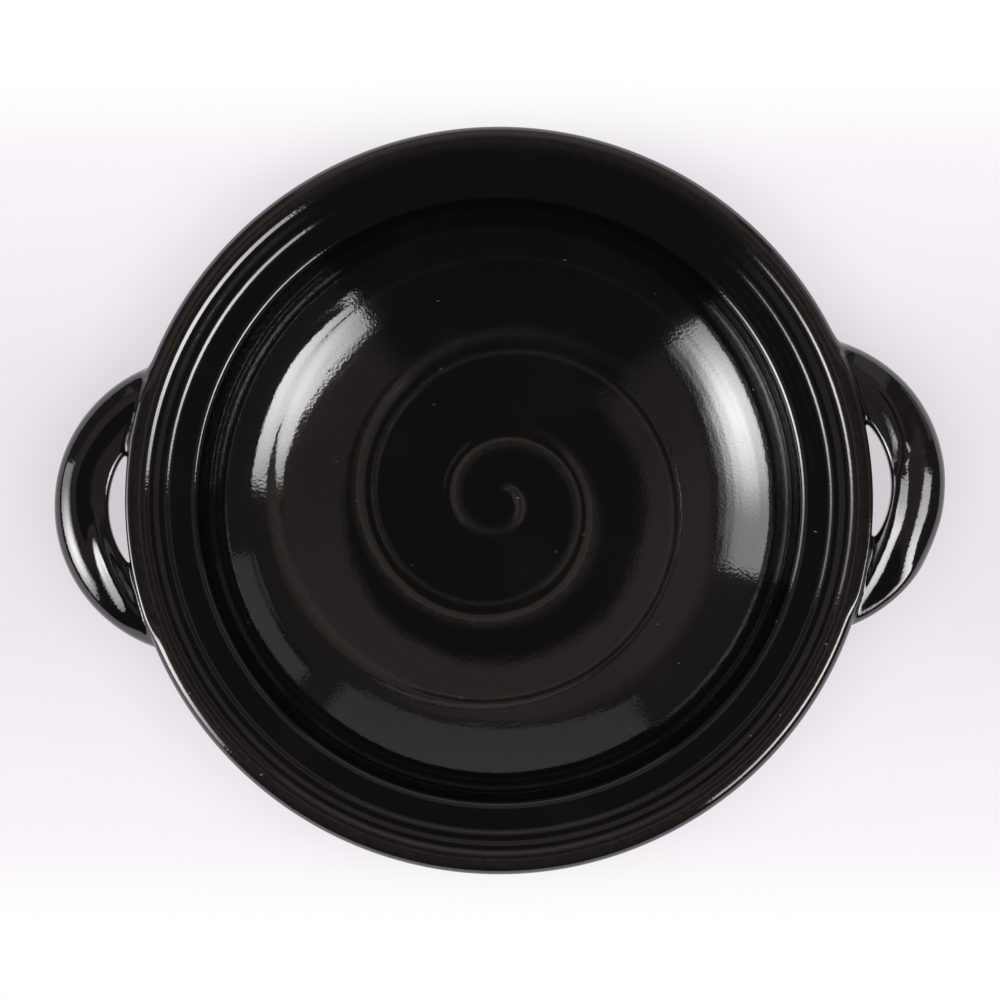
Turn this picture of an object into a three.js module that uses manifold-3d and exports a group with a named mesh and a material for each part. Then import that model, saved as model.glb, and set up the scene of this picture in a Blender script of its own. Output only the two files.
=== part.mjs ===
// A wheel-thrown clay cooking plate, glazed black: a wide dish with a ringed flange and a
// rolled lip, a finger groove that winds out from the middle of its floor, and two pulled
// loop handles, each luted on with a collar of soft clay at both of its ends.
// Millimetres, +Z up. The origin is on the table, under the middle of the foot.

import * as THREE from "three";
import { mergeVertices } from "three/addons/utils/BufferGeometryUtils.js";
import Module from "manifold-3d";

// The dish
const RIM_RADIUS = 140; // to the outside of the rolled lip
const DISH_HEIGHT = 55; // table to the top of the lip
const LIP_RADIUS = 4.5; // round section of the rolled lip
const FLANGE_WIDTH = 27; // outside of the lip in to the top of the wall
const FLANGE_DROP = 4; // top of the lip down to the top of the wall
const FLANGE_THICKNESS = 6.5; // where it springs from the wall
const SHOULDER = 2.6; // rounding where the wall turns into the flange
const WELL_RADIUS = 78; // where the floor turns up into the wall
const WELL_RISE = 7; // climb of the floor from its middle to there
const FLOOR_THICKNESS = 9; // clay under the middle of the floor, down to the table
const WALL_THICKNESS = 8;
const WALL_TURN = 32; // length over which the wall goes on climbing as gently as the floor's edge
const FOOT_RADIUS = 76;
const FOOT_WIDTH = 14; // flat ring that the dish stands on
const FOOT_RECESS = 1.5; // hollow turned under the middle
const FOOT_EDGE = 2; // rounding of the foot's outer edge

// The rings left by the thrower's fingers on the flange: each is a small step up
const RING_SETBACKS = [10.1, 14.2, 17.8]; // from the top of the wall out to each step's foot
const RING_HEIGHTS = [0.65, 0.45, 0.75];
const RING_WIDTH = 2.2;

// The finger groove that winds out over the floor and on to the foot of the wall
const SCROLL_START = 8.2; // radius of its inner end
const SCROLL_FIRST_TURN = 24.3; // how far its first turn moves out
const SCROLL_GROWTH = 1.3; // power by which the turns widen
const SCROLL_TURNS = 2.6;
const SCROLL_WIDTH = 9;
const SCROLL_DEPTH = 0.8;
const SCROLL_ENDS = 0.15; // share of its length over which it fades at each end
const SCROLL_CLEARANCE = 0.05; // its edges end this far above the clay, for a clean cut

// The handles
const HANDLE_REACH = 27.5; // beyond the rim
const HANDLE_BEND = 46; // radius of the bend along the middle of the strap
const HANDLE_DROP = 1.5; // top of the lip down to the top of the strap
const HANDLE_ROOT = 9.5; // how far the strap's middle goes in under the lip
const STRAP_WIDTH = 21;
const STRAP_THICKNESS = 13;
const STRAP_SQUARENESS = 2.5; // 2 is an ellipse, more is squarer
const THUMB_GROOVE = 1; // depth of the hollow drawn along the top of the strap
const THUMB_GROOVE_NARROWNESS = 6; // more keeps it closer to the middle
const HANDLE_BEARINGS = { right: 3, left: 181 }; // degrees from +X, as luted on by hand

// The luting clay
const LUTING_LENGTH = 11; // along the strap, from the rim out
const LUTING_EDGE = 0.6; // thickness where it feathers out
const LUTING_SPREAD = { back: 3, front: 2 }; // thickness sideways at the buried end
const LUTING_LIFT = 1; // thickness above and below at the buried end

const GAP = 0.3; // between two pieces that were pressed together

// How finely the round surfaces are drawn
const DISH_SEGMENTS = 64;
const SCROLL_STEPS_PER_TURN = 28;
const SCROLL_SIDES = 6;
const STRAP_SIDES = 16;
const STRAP_STEPS = 24;
const COLLAR_STEPS = 6;

const wallTop = new THREE.Vector2(RIM_RADIUS - FLANGE_WIDTH, DISH_HEIGHT - FLANGE_DROP);
const lipCentre = new THREE.Vector2(RIM_RADIUS - LIP_RADIUS, DISH_HEIGHT - LIP_RADIUS);
const lipJoins = { flange: 106, underside: -110 }; // degrees round the lip's section

const wasm = await Module();
wasm.setup();

// A closed geometry as a solid that can be joined and cut.
function solid(geometry) {
  const bare = geometry.clone();
  bare.deleteAttribute("normal");
  bare.deleteAttribute("uv");
  const merged = mergeVertices(bare, 1e-3);
  return new wasm.Manifold(
    new wasm.Mesh({
      numProp: 3,
      vertProperties: merged.attributes.position.array,
      triVerts: new Uint32Array(merged.index.array),
    }),
  );
}

function geometryOf(shape) {
  const mesh = shape.getMesh();
  const geometry = new THREE.BufferGeometry();
  geometry.setAttribute("position", new THREE.BufferAttribute(mesh.vertProperties, 3));
  geometry.setIndex(new THREE.BufferAttribute(mesh.triVerts, 1));
  geometry.computeVertexNormals();
  return geometry;
}

// A solid turned on the wheel: the outline runs from the axis up its outside and back to the axis.
function turned(outline) {
  return solid(new THREE.LatheGeometry(outline, DISH_SEGMENTS).rotateX(Math.PI / 2));
}

// A closed skin over rings of points, each ring seen anticlockwise from the last ring's side.
function lofted(rings) {
  const sides = rings[0].length;
  const points = rings.flat();
  const triangles = [];
  for (let ring = 0; ring + 1 < rings.length; ring++) {
    for (let side = 0; side < sides; side++) {
      const near = ring * sides + side;
      const next = ring * sides + ((side + 1) % sides);
      triangles.push(near, next, near + sides, next, next + sides, near + sides);
    }
  }
  const last = (rings.length - 1) * sides;
  for (let side = 1; side + 1 < sides; side++) {
    triangles.push(0, side + 1, side);
    triangles.push(last, last + side, last + side + 1);
  }
  const geometry = new THREE.BufferGeometry().setFromPoints(points);
  geometry.setIndex(triangles);
  return solid(geometry);
}

function wellHeight(radius) {
  return FLOOR_THICKNESS + WELL_RISE * (radius / WELL_RADIUS) ** 4;
}

function lipArc(from, to, steps, growth = 0) {
  const points = [];
  for (let step = 0; step <= steps; step++) {
    const angle = THREE.MathUtils.degToRad(THREE.MathUtils.lerp(from, to, step / steps));
    const radius = LIP_RADIUS + growth;
    const along = new THREE.Vector2(Math.cos(angle), Math.sin(angle));
    points.push(along.multiplyScalar(radius).add(lipCentre));
  }
  return points;
}

// The flange climbs evenly from the top of the wall to the lip, with a step up at each ring.
function flangeHeight(radius) {
  const [join] = lipArc(lipJoins.flange, lipJoins.flange, 1);
  const steps = RING_HEIGHTS.reduce((sum, height) => sum + height, 0);
  const slope = (join.y - wallTop.y - steps) / (join.x - wallTop.x);
  let height = wallTop.y + slope * (radius - wallTop.x);
  RING_SETBACKS.forEach((setback, ring) => {
    const foot = wallTop.x + setback;
    const climbed = THREE.MathUtils.smoothstep(radius, foot, foot + RING_WIDTH);
    height += RING_HEIGHTS[ring] * climbed;
  });
  return height;
}

// The wall, from the edge of the floor to the shoulder under the flange.
function wallCurve() {
  const slope = (4 * WELL_RISE) / WELL_RADIUS;
  const start = new THREE.Vector2(WELL_RADIUS, wellHeight(WELL_RADIUS));
  const control = start.clone().add(new THREE.Vector2(WALL_TURN, WALL_TURN * slope));
  const end = wallTop.clone().lerp(control, SHOULDER / wallTop.distanceTo(control));
  return new THREE.QuadraticBezierCurve(start, control, end);
}

// The inside of the dish, from the lip in to the middle of the floor.
function insideOutline() {
  const ringRadii = RING_SETBACKS.flatMap((setback) =>
    [1, 0.5, 0].map((share) => wallTop.x + setback + share * RING_WIDTH),
  ).sort((a, b) => b - a);
  const flange = ringRadii.map((radius) => new THREE.Vector2(radius, flangeHeight(radius)));
  const wall = wallCurve();
  const shoulderEnd = wallTop.x + SHOULDER;
  const shoulder = new THREE.QuadraticBezierCurve(
    new THREE.Vector2(shoulderEnd, flangeHeight(shoulderEnd)),
    wallTop,
    wall.v2,
  );
  const well = [0.9, 0.8, 0.7, 0.6, 0.48, 0.36, 0.24, 0.12, 0].map(
    (share) => new THREE.Vector2(share * WELL_RADIUS, wellHeight(share * WELL_RADIUS)),
  );
  return [...flange, ...shoulder.getPoints(3), ...wall.getPoints(9).reverse().slice(1), ...well];
}

// The outside of the dish, from the foot's outer edge up to the underside of the lip.
function outsideOutline(growth = 0) {
  const wall = wallCurve();
  const shell = [];
  for (let step = 0; step <= 8; step++) {
    const tangent = wall.getTangent(step / 8);
    const outwards = new THREE.Vector2(tangent.y, -tangent.x);
    shell.push(wall.getPoint(step / 8).addScaledVector(outwards, WALL_THICKNESS + growth));
  }
  const [underLip] = lipArc(lipJoins.underside, lipJoins.underside, 1, growth);
  const corner = shell.pop();
  corner.y = wallTop.y - FLANGE_THICKNESS - growth;
  const cove = new THREE.QuadraticBezierCurve(
    shell.pop(),
    corner,
    corner.clone().lerp(underLip, 0.5),
  );
  const foot = new THREE.QuadraticBezierCurve(
    new THREE.Vector2(FOOT_RADIUS - FOOT_EDGE, -growth),
    new THREE.Vector2(FOOT_RADIUS + growth, -growth),
    new THREE.Vector2(FOOT_RADIUS + growth, FOOT_EDGE),
  );
  return [...foot.getPoints(3), ...shell, ...cove.getPoints(4)];
}

// How high the clay is on the floor or on the wall, before the finger groove is drawn.
function insideHeight(radius) {
  if (radius <= WELL_RADIUS) {
    return wellHeight(radius);
  }
  const { v0, v1, v2 } = wallCurve();
  const square = v0.x - 2 * v1.x + v2.x;
  const linear = 2 * (v1.x - v0.x);
  const root = Math.sqrt(linear ** 2 - 4 * square * (v0.x - radius));
  return wallCurve().getPoint((root - linear) / (2 * square)).y;
}

// How far out the finger groove is after so many turns.
function scrollRadius(turn) {
  return SCROLL_START + SCROLL_FIRST_TURN * turn ** SCROLL_GROWTH;
}

// The finger's track, clockwise from the middle out: a shallow trough, fading at both ends.
function scrollTrack() {
  const steps = Math.round(SCROLL_TURNS * SCROLL_STEPS_PER_TURN);
  const rings = [];
  for (let step = 0; step <= steps; step++) {
    const turn = (SCROLL_TURNS * step) / steps;
    const fade = Math.min(1, Math.min(step, steps - step) / steps / SCROLL_ENDS);
    const depth = SCROLL_DEPTH * Math.sin((fade * Math.PI) / 2);
    const middle = scrollRadius(turn);
    const section = [];
    for (let side = 0; side <= SCROLL_SIDES; side++) {
      const across = (2 * side) / SCROLL_SIDES - 1;
      const radius = middle + (across * SCROLL_WIDTH) / 2;
      const hollow = depth * (1 - across ** 2);
      section.push([radius, insideHeight(radius) - hollow + SCROLL_CLEARANCE]);
    }
    const lid = insideHeight(middle + SCROLL_WIDTH / 2) + SCROLL_DEPTH;
    section.push([middle + SCROLL_WIDTH / 2, lid], [middle - SCROLL_WIDTH / 2, lid]);
    const upright = new THREE.Vector3(0, 0, 1);
    const angle = -2 * Math.PI * turn;
    rings.push(
      section.map(([radius, height]) =>
        new THREE.Vector3(radius, 0, height).applyAxisAngle(upright, angle),
      ),
    );
  }
  return lofted(rings);
}

function dish() {
  const footInside = FOOT_RADIUS - FOOT_WIDTH;
  const underside = [
    new THREE.Vector2(0, FOOT_RECESS),
    new THREE.Vector2(footInside - FOOT_RECESS, FOOT_RECESS),
    new THREE.Vector2(footInside, 0),
  ];
  const lip = lipArc(lipJoins.underside, lipJoins.flange, 10);
  const body = turned([...underside, ...outsideOutline(), ...lip, ...insideOutline()]);
  return body.subtract(scrollTrack());
}

// All that the dish takes up as seen by a piece pressed against its outside, grown by the gap.
function dishRoom() {
  const above = 2 * DISH_HEIGHT;
  const lip = lipArc(lipJoins.underside, 90, 10, GAP);
  return turned([
    new THREE.Vector2(0, -GAP),
    ...outsideOutline(GAP),
    ...lip,
    new THREE.Vector2(lipCentre.x, above),
    new THREE.Vector2(0, above),
  ]);
}

// A handle's strap bends about a point inside the rim, in the handle's own frame, where +X
// points straight out of the dish.
const strapMiddle = RIM_RADIUS + HANDLE_REACH - STRAP_WIDTH / 2;
const bendCentre = strapMiddle - HANDLE_BEND;

// How far round its bend the strap's middle is when it is so far from the dish's axis.
function bendAngleAt(radius) {
  const cosine =
    (radius ** 2 - bendCentre ** 2 - HANDLE_BEND ** 2) / (2 * bendCentre * HANDLE_BEND);
  return Math.acos(cosine);
}

// The strap's section at a place along its bend, grown sideways and up and down.
function strapRing(angle, sideways = 0, upright = 0) {
  const ring = [];
  for (let side = 0; side < STRAP_SIDES; side++) {
    const turn = (-2 * Math.PI * side) / STRAP_SIDES;
    const [cosine, sine] = [Math.cos(turn), Math.sin(turn)];
    const squared = (value) => Math.sign(value) * Math.abs(value) ** (2 / STRAP_SQUARENESS);
    const across = squared(cosine) * (STRAP_WIDTH / 2 + sideways);
    const hollow = THUMB_GROOVE * Math.max(0, sine) ** THUMB_GROOVE_NARROWNESS;
    const up = squared(sine) * (STRAP_THICKNESS / 2 + upright) - hollow;
    const reach = HANDLE_BEND + across;
    ring.push(
      new THREE.Vector3(
        bendCentre + reach * Math.cos(angle),
        reach * Math.sin(angle),
        DISH_HEIGHT - HANDLE_DROP - STRAP_THICKNESS / 2 + up,
      ),
    );
  }
  return ring;
}

function strap(from, to, growth = 0) {
  const rings = [];
  for (let step = 0; step <= STRAP_STEPS; step++) {
    rings.push(strapRing(THREE.MathUtils.lerp(from, to, step / STRAP_STEPS), growth, growth));
  }
  return lofted(rings);
}

const rootAngle = bendAngleAt(RIM_RADIUS - HANDLE_ROOT);

function handle(room) {
  return strap(-rootAngle, rootAngle).subtract(room);
}

// A collar of luting clay round the root at one side of the handle's own frame, +1 or -1:
// thin out along the strap, thick against the dish.
function lutingCollar(side, spread, room) {
  const startAngle = bendAngleAt(RIM_RADIUS) - LUTING_LENGTH / HANDLE_BEND;
  const rings = [];
  for (let step = 0; step <= COLLAR_STEPS; step++) {
    const share = step / COLLAR_STEPS;
    const angle = THREE.MathUtils.lerp(startAngle, rootAngle, share);
    const sideways = GAP + THREE.MathUtils.lerp(LUTING_EDGE, spread, share ** 2);
    const upright = GAP + THREE.MathUtils.lerp(LUTING_EDGE, LUTING_LIFT, share ** 2);
    rings.push(strapRing(side * angle, sideways, upright));
  }
  if (side < 0) {
    rings.reverse();
  }
  const bore = strap(-rootAngle - 0.1, rootAngle + 0.1, GAP);
  return lofted(rings).subtract(bore).subtract(room);
}

const glaze = new THREE.MeshStandardMaterial({
  name: "black_glaze",
  color: new THREE.Color(0.012, 0.01, 0.01),
  roughness: 0.12,
  metalness: 0,
});

function piece(name, shape, bearing = 0) {
  const mesh = new THREE.Mesh(geometryOf(shape), glaze);
  mesh.name = name;
  mesh.rotation.z = THREE.MathUtils.degToRad(bearing);
  return mesh;
}

const plate = new THREE.Group();
plate.add(piece("thrown_dish", dish()));

const room = dishRoom();
for (const [side, bearing] of Object.entries(HANDLE_BEARINGS)) {
  plate.add(piece(`${side}_handle`, handle(room), bearing));
  const backSide = Math.sign(Math.cos(THREE.MathUtils.degToRad(bearing)));
  const back = lutingCollar(backSide, LUTING_SPREAD.back, room);
  const front = lutingCollar(-backSide, LUTING_SPREAD.front, room);
  plate.add(piece(`${side}_handle_back_luting`, back, bearing));
  plate.add(piece(`${side}_handle_front_luting`, front, bearing));
}

export default plate;
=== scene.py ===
import math

import bpy
import numpy as np
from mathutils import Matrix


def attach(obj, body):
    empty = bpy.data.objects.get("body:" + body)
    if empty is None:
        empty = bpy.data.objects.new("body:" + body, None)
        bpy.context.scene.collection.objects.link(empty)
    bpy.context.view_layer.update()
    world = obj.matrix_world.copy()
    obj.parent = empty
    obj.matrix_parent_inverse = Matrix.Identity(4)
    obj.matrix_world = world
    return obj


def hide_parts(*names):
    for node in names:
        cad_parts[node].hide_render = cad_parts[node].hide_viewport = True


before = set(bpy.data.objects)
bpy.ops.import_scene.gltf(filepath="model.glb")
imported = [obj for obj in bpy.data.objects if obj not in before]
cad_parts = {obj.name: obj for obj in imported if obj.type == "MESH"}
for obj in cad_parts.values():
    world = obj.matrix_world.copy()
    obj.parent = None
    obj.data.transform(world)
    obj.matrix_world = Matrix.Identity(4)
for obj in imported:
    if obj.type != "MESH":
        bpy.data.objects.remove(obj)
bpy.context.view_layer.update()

# The dish: one lump of red-brown clay, thrown on a wheel with its flange and rolled lip, and
# turned to a foot ring underneath. The potter's finger drew the groove that winds out over the
# floor and up the wall, and pressed the rings into the flange.
MM = 0.001  # the sizes of the dish and the handles are in millimetres
RIM_RADIUS = 140.0
DISH_HEIGHT = 55.0
LIP_RADIUS = 4.5
FLANGE_WIDTH = 27.0
FLANGE_DROP = 4.0
FLANGE_THICKNESS = 6.5
SHOULDER = 2.6  # how far the bend between the wall and the flange goes to each side
WELL_RADIUS = 78.0
WELL_RISE = 7.0
WELL_POWER = 4  # the higher, the further the floor stays flat before it rises
FLOOR_THICKNESS = 9.0
WALL_THICKNESS = 8.0
WALL_TURN = 32.0  # from the edge of the well out to the corner that the wall bends round
COVE_START = 7 / 8  # share of the wall's outside that is below the cove under the flange
FOOT_RADIUS = 76.0
FOOT_WIDTH = 14.0
FOOT_RECESS = 1.5
FOOT_EDGE = 2.0
RECESS_RING = 30.0  # a ring of points that keeps the shading of the recess flat
POINTS = {"well": 110, "wall": 56, "shoulder": 8, "flange": 66, "lip": 42, "cove": 12, "foot": 6}
RINGS = ((10.1, 0.65, 2.2), (14.2, 0.45, 2.2), (17.8, 0.75, 2.2))  # setback, height, width
LIP_JOINS = (106.0, -110.0)  # degrees round the lip's section: flange side, underside
LIP_SQUARENESS = 6.0  # where it was pressed square between the roots of each handle
HANDLE_BEARINGS = {"right": 3.0, "left": 181.0}
PRESSED_REACH = (17.0, 22.0)  # degrees to each side of a handle, over which that ends
BROWNER_LIP = 0.9  # how much browner the top of the lip is made
BROWNER_LIP_REACH = 3.0  # how far from the lip's middle that goes
OUT_OF_ROUND = 0.003  # share of its radius by which the dish swells to one side
OUT_OF_ROUND_BEARING = math.radians(150)

wall_top = np.array([RIM_RADIUS - FLANGE_WIDTH, DISH_HEIGHT - FLANGE_DROP])
lip_centre = np.array([RIM_RADIUS - LIP_RADIUS, DISH_HEIGHT - LIP_RADIUS])


def bend(start, control, end, steps):
    """Points along a smooth bend that leaves start and reaches end in line with control."""
    share = np.linspace(0, 1, steps + 1)[:, None]
    return (1 - share) ** 2 * start + 2 * share * (1 - share) * control + share**2 * end


def lip_arc(start, end, steps, squareness=2.0):
    """Points round the lip's section, whose outer top is squarer where that is over 2."""
    turn = np.radians(np.linspace(start, end, steps + 1))
    along = np.stack([np.cos(turn), np.sin(turn)], 1)
    length = (np.maximum(along, 0) ** squareness).sum(1) ** (1 / squareness)
    corner = (turn > 0) & (turn < math.pi / 2)
    return lip_centre + LIP_RADIUS * along / np.where(corner, length, 1)[:, None]


def smooth(value, low, high):
    """0 where the value is low and 1 where it is high, with no corners between."""
    share = np.clip((value - low) / (high - low), 0, 1)
    return share * share * (3 - 2 * share)


def flange_height(radius):
    """The height of the flange's top, which climbs by its rings and a gentle slope."""
    join = lip_arc(LIP_JOINS[0], LIP_JOINS[0], 1)[0]
    climb = join[1] - wall_top[1] - sum(height for _, height, _ in RINGS)
    result = wall_top[1] + climb * (radius - wall_top[0]) / (join[0] - wall_top[0])
    for setback, height, width in RINGS:
        foot = wall_top[0] + setback
        result = result + height * smooth(radius, foot, foot + width)
    return result


def wheel_profile(squareness=2.0):
    """The dish's section in millimetres, from the middle of its floor out over the lip and
    back under it to the middle of its foot, and how many of the points are inside it."""
    radius = np.linspace(0, WELL_RADIUS, POINTS["well"])
    rise = WELL_RISE * (radius / WELL_RADIUS) ** WELL_POWER
    well = np.stack([radius, FLOOR_THICKNESS + rise], 1)
    slope = WELL_POWER * WELL_RISE / WELL_RADIUS
    control = well[-1] + WALL_TURN * np.array([1, slope])
    wall_end = wall_top + (control - wall_top) * SHOULDER / np.linalg.norm(control - wall_top)
    wall = bend(well[-1], control, wall_end, POINTS["wall"])
    flange_start = np.array([wall_top[0] + SHOULDER, flange_height(wall_top[0] + SHOULDER)])
    shoulder = bend(wall_end, wall_top, flange_start, POINTS["shoulder"])
    lip = lip_arc(*LIP_JOINS, POINTS["lip"], squareness)
    radius = np.linspace(flange_start[0], lip[0][0], POINTS["flange"])[1:-1]
    flange = np.stack([radius, flange_height(radius)], 1)

    tangent = np.gradient(wall, axis=0)
    tangent /= np.linalg.norm(tangent, axis=1)[:, None]
    shell = wall + WALL_THICKNESS * np.stack([tangent[:, 1], -tangent[:, 0]], 1)
    corner = np.array([shell[-1][0], wall_top[1] - FLANGE_THICKNESS])
    cove_start = int(len(shell) * COVE_START)
    cove = bend(shell[cove_start], corner, (corner + lip[-1]) / 2, POINTS["cove"])
    foot = bend(
        np.array([FOOT_RADIUS, FOOT_EDGE]),
        np.array([FOOT_RADIUS, 0.0]),
        np.array([FOOT_RADIUS - FOOT_EDGE, 0.0]),
        POINTS["foot"],
    )
    inner = FOOT_RADIUS - FOOT_WIDTH
    recess = [[radius, FOOT_RECESS] for radius in (inner - FOOT_RECESS, RECESS_RING, 0)]
    under = np.array([[inner, 0], *recess])
    inside = [well, wall[1:], shoulder[1:], flange, lip]
    outside = [cove[::-1], shell[:cove_start][::-2], foot, under]
    return np.concatenate(inside + outside), sum(len(part) for part in inside)


class Workbench:
    """Puts nodes into a tree, with their inputs linked or set, and does sums with them."""

    def __init__(self, tree):
        self.tree = tree

    def put(self, kind, inputs=(), **settings):
        node = self.tree.nodes.new(kind)
        for name, value in settings.items():
            setattr(node, name, value)
        for name, value in dict(inputs).items():
            if isinstance(value, bpy.types.NodeSocket):
                self.tree.links.new(value, node.inputs[name])
            else:
                node.inputs[name].default_value = value
        return node

    def calc(self, operation, *values):
        return self.put("ShaderNodeMath", dict(enumerate(values)), operation=operation).outputs[0]

    def product(self, first, *others):
        for other in others:
            first = self.calc("MULTIPLY", first, other)
        return first

    def ease(self, value, low, high, start=0.0, end=1.0):
        """start where the value is low and end where it is high, with no corners between."""
        names = ("Value", "From Min", "From Max", "To Min", "To Max")
        inputs = dict(zip(names, (value, low, high, start, end)))
        return self.put("ShaderNodeMapRange", inputs, interpolation_type="SMOOTHSTEP").outputs[0]

    def mixed(self, share, first, second):
        inputs = {0: share, 6: first, 7: second}
        return self.put("ShaderNodeMix", inputs, data_type="RGBA").outputs[2]


# The finger's track: its radius against the turns that the wheel has made.
TRACK_START = -0.3
FINGER_TRACK = (
    (3.6, TRACK_START),
    (6.4, -0.1),
    (8.6, 0.067),
    (14.6, 0.425),
    (28.8, 1.0),
    (40.4, 1.3),
    (52.3, 1.642),
    (65.8, 2.0),
    (79.0, 2.36),
    (88.5, 2.6),
    (96.1, 3.0),
    (101.3, 3.33),
)
TRACK_END = (1.0, 3.0)  # how far beyond its last radius all of its marks end
# How hard the finger presses: the turns over which that changes, and from what to what.
PRESSING = (
    (-0.27, -0.12, 0.0, 1.0),
    (0.08, 0.24, 1.9, 0.55),
    (0.24, 0.42, 1.0, 1.0 / 0.55),
    (2.6, 2.68, 1.0, 0.25),
    (3.05, 3.33, 1.0, 0.0),
)
# The crest along the track and the trough beside it: the place across the track and the width,
# the turns over which these change, by how much they do, and by how much more they change
# where the finger lies broader.
CREST = ((0.0, 1.7), (0.7, 1.3), (0.0, -0.95), (-0.5, 1.75))
TROUGH = ((3.4, 2.3), (1.7, 2.1), (-1.8, -1.2), (2.2, 2.4))
TROUGH_FROM = (0.1, 0.35)
BROADER_FROM = (2.25, 2.48)
BROADER_TO = (2.58, 2.66)
BROADER_DEPTH = 0.35  # share of the trough's depth that is left there
OUTER_RIDGE_PLACE = 7.0  # a second, lower crest outside the trough
OUTER_RIDGE_WIDTH = 2.0
OUTER_RIDGE_FROM = (0.75, 1.0)
OUTER_RIDGE_TO = (1.6, 1.95)
THROWING_MARK_SPACING = 3.1
THROWING_MARKS_FROM = (60.0, 90.0)  # radii over which they begin
WAVE_SCALE = 34.0  # the slow unevenness of the thrown clay
WAVE_DETAIL = 2.0
SEAM = 1e-6  # the seam and the poles are closed within this, in metres


def potters_wheel():
    """Geometry nodes that spin a profile round Z and draw the finger's groove in it."""
    tree = bpy.data.node_groups.new("potters_wheel", "GeometryNodeTree")
    sockets = (
        ("Profile", "Geometry", None),
        ("Points", "Int", 2),
        ("Segments", "Int", 256),
        ("Groove Depth", "Float", 0.0),
        ("Crest Height", "Float", 0.0),
        ("Outer Ridge Height", "Float", 0.0),
        ("Throwing Marks", "Float", 0.0),
        ("Waviness", "Float", 0.0),
        ("Out Of Round", "Float", 0.0),
        ("Out Of Round Bearing", "Float", 0.0),
        ("Right Handle", "Float", 0.0),
        ("Left Handle", "Float", 0.0),
        ("Pressed From", "Float", 1.0),
        ("Pressed To", "Float", 1.0),
        ("Glaze", "Material", None),
    )
    for name, kind, value in sockets:
        socket = tree.interface.new_socket(
            name=name, in_out="INPUT", socket_type="NodeSocket" + kind
        )
        if value is not None:
            socket.default_value = value
    tree.interface.new_socket(
        name="Dish", in_out="OUTPUT", socket_type="NodeSocketGeometry"
    )
    bench = Workbench(tree)
    put, calc, product, ease = bench.put, bench.calc, bench.product, bench.ease
    given = put("NodeGroupInput").outputs

    def hump(distance, width):
        share = calc("DIVIDE", distance, width)
        return calc("EXPONENT", product(share, share, -1.0))

    columns = calc("ADD", given["Segments"], 1)
    grid = put("GeometryNodeMeshGrid", {"Vertices X": given["Points"], "Vertices Y": columns})
    index = put("GeometryNodeInputIndex").outputs[0]
    row = calc("FLOOR", calc("DIVIDE", index, columns))
    column = calc("SUBTRACT", index, calc("MULTIPLY", row, columns))
    turned = calc("DIVIDE", column, given["Segments"])
    angle = calc("MULTIPLY", turned, math.tau)

    def sampled(value, kind):
        """What a point of the grid takes from its row's point of the profile."""
        inputs = {"Geometry": given["Profile"], "Value": value, "Index": row}
        return put("GeometryNodeSampleIndex", inputs, data_type=kind).outputs[0]

    def marked(name, kind):
        named = put("GeometryNodeInputNamedAttribute", {"Name": name}, data_type=kind)
        return sampled(named.outputs[0], kind)

    spot = sampled(put("GeometryNodeInputPosition").outputs[0], "FLOAT_VECTOR")
    spot = put("ShaderNodeSeparateXYZ", {0: spot})
    radius, height = spot.outputs["X"], spot.outputs["Z"]
    radius_mm = calc("DIVIDE", radius, MM)
    inside = marked("inside", "FLOAT")
    pressed = put("ShaderNodeSeparateXYZ", {0: marked("pressed", "FLOAT_VECTOR")})

    reach, most_turns = FINGER_TRACK[-1]

    def turns_at(radius_mm):
        """The turns that the wheel has made when the finger comes to a radius."""
        node = put("ShaderNodeFloatCurve", {"Value": calc("DIVIDE", radius_mm, reach)})
        curve = node.mapping.curves[0]
        curve.points[0].location = (0, 0)
        curve.points[1].location = (1, 1)
        for track_radius, turns in FINGER_TRACK[:-1]:
            share = (turns - TRACK_START) / (most_turns - TRACK_START)
            curve.points.new(track_radius / reach, share)
        node.mapping.update()
        return calc("MULTIPLY_ADD", node.outputs[0], most_turns - TRACK_START, TRACK_START)

    turns = turns_at(radius_mm)
    step, fewest = 1.0, 0.01  # along the radius, and the turns that keep the pitch finite
    further = turns_at(calc("ADD", radius_mm, step))
    nearer = turns_at(calc("SUBTRACT", radius_mm, step))
    pitch = calc("DIVIDE", 2 * step, calc("MAXIMUM", calc("SUBTRACT", further, nearer), fewest))
    phase = calc("ADD", turns, turned)
    ahead = calc("SUBTRACT", phase, calc("ROUND", phase))
    across = calc("MULTIPLY", ahead, pitch)
    along = calc("SUBTRACT", turns, ahead)

    def between(starts, ends):
        """1 from one place along the track to another, with a smooth passage at both."""
        return calc("MULTIPLY", ease(along, *starts), ease(along, *ends, 1.0, 0.0))

    drawn = product(
        *(ease(along, *change) for change in PRESSING),
        inside,
        ease(radius_mm, reach + TRACK_END[0], reach + TRACK_END[1], 1.0, 0.0),
    )
    broader = between(BROADER_FROM, BROADER_TO)

    def form(first, narrows, narrower, broadest):
        """A crest or trough along the track, from its place, width and their changes."""
        narrowing = ease(along, *narrows)
        place, width = (
            calc("MULTIPLY_ADD", broader, most, calc("MULTIPLY_ADD", narrowing, less, size))
            for size, less, most in zip(first, narrower, broadest)
        )
        return hump(calc("SUBTRACT", across, place), width)

    crest = form(*CREST)
    trough = product(
        form(*TROUGH),
        calc("MULTIPLY_ADD", broader, BROADER_DEPTH - 1.0, 1.0),
        ease(along, *TROUGH_FROM),
    )
    outer = hump(calc("SUBTRACT", across, OUTER_RIDGE_PLACE), OUTER_RIDGE_WIDTH)
    outer = calc("MULTIPLY", outer, between(OUTER_RIDGE_FROM, OUTER_RIDGE_TO))

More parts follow.
